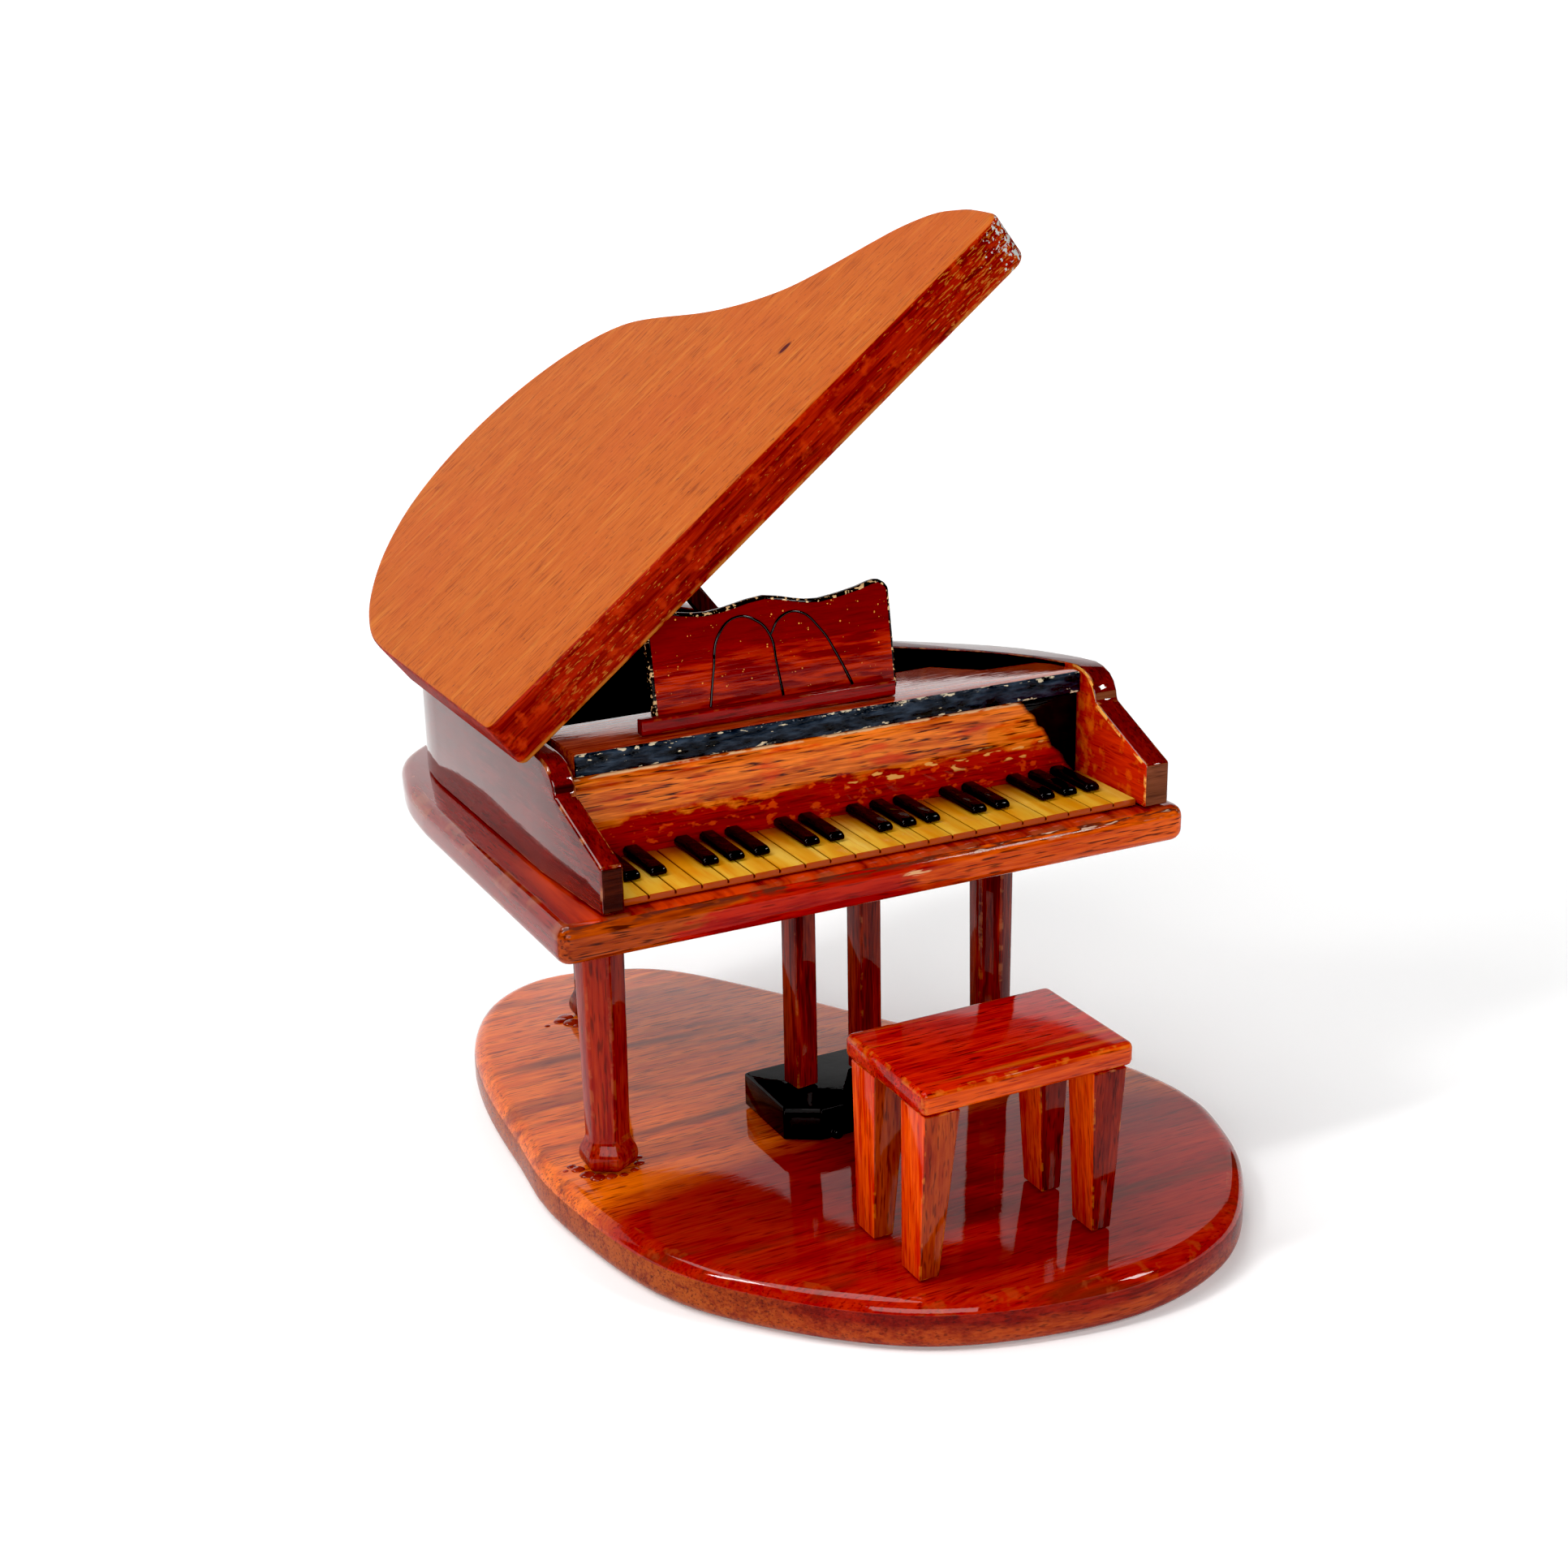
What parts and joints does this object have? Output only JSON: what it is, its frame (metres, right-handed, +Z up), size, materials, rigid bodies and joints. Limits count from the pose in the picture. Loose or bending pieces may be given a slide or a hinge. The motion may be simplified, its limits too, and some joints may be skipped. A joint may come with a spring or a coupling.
{
  "type": "miniature grand piano",
  "caption": "Dolls' house grand piano of lacquered wood with a propped-open lid and a bench, on a rounded base plate.",
  "frame": {"origin": "centre of the footprint at floor level, on the underside of the base plate", "axes": "+X towards the treble (right) end of the keyboard, +Y from the keyboard towards the tail, +Z up"},
  "size_m": [0.1248, 0.156, 0.1641],
  "materials": {
    "base_lacquer": "high-gloss lacquered mahogany",
    "leg_lacquer": "high-gloss lacquered mahogany",
    "key_bed_lacquer": "high-gloss lacquered mahogany",
    "case_lacquer": "high-gloss dark lacquered mahogany",
    "fallboard_lacquer": "mirror-gloss lacquered wood",
    "shelf_lacquer": "mirror-gloss lacquered wood with a dark worn front edge",
    "desk_lacquer": "gloss deep-red lacquer with dark edges",
    "lid_lacquer": "satin-gloss lacquered mahogany with fine grain",
    "prop_lacquer": "dark gloss lacquer",
    "black_lacquer": "black gloss lacquer",
    "bench_lacquer": "high-gloss lacquered mahogany with orange grain",
    "ivory_keys": "pale yellow lacquer",
    "black_keys": "black gloss lacquer",
    "brass": "thin rolled brass",
    "steel": "plain wire"
  },
  "bodies": {
    "case": {"base_plate": "base_lacquer", "bench_leg_back_left": "bench_lacquer", "bench_leg_back_right": "bench_lacquer", "bench_leg_front_left": "bench_lacquer", "bench_leg_front_right": "bench_lacquer", "bench_seat": "bench_lacquer", "black_key_01": "black_keys", "black_key_02": "black_keys", "black_key_03": "black_keys", "black_key_04": "black_keys", "black_key_05": "black_keys", "black_key_06": "black_keys", "black_key_07": "black_keys", "black_key_08": "black_keys", "black_key_09": "black_keys", "black_key_10": "black_keys", "black_key_11": "black_keys", "black_key_12": "black_keys", "black_key_13": "black_keys", "black_key_14": "black_keys", "black_key_15": "black_keys", "case_rim": "case_lacquer", "desk_ledge": "desk_lacquer", "fallboard": "fallboard_lacquer", "hinge_back_case_leaf": "brass", "hinge_back_pin": "brass", "hinge_front_case_leaf": "brass", "hinge_front_pin": "brass", "key_bed": "key_bed_lacquer", "leg_front_left": "leg_lacquer", "leg_front_right": "leg_lacquer", "leg_rear": "leg_lacquer", "lyre_post_left": "leg_lacquer", "lyre_post_right": "leg_lacquer", "music_desk": "desk_lacquer", "music_shelf": "shelf_lacquer", "pedal_box": "black_lacquer", "pedal_left": "black_lacquer", "pedal_middle": "black_lacquer", "pedal_right": "black_lacquer", "prop_block": "prop_lacquer", "prop_pin": "steel", "soundboard": "black_lacquer", "white_keys": "ivory_keys"},
    "lid": {"hinge_back_lid_leaf": "brass", "hinge_front_lid_leaf": "brass", "lid": "lid_lacquer"},
    "prop": {"lid_prop": "prop_lacquer"}
  },
  "joints": [
    {"name": "lid_hinge", "type": "hinge", "parent": "case", "child": "lid", "pos_m": [-0.05584, 0.01997, 0.0881], "axis": [0, -1, 0], "range_deg": [0, 45]},
    {"name": "prop_fold", "type": "hinge", "parent": "case", "child": "prop", "pos_m": [0.00576, 0.03317, 0.0829], "axis": [0, -1, 0], "range_deg": [0, 50]}
  ]
}
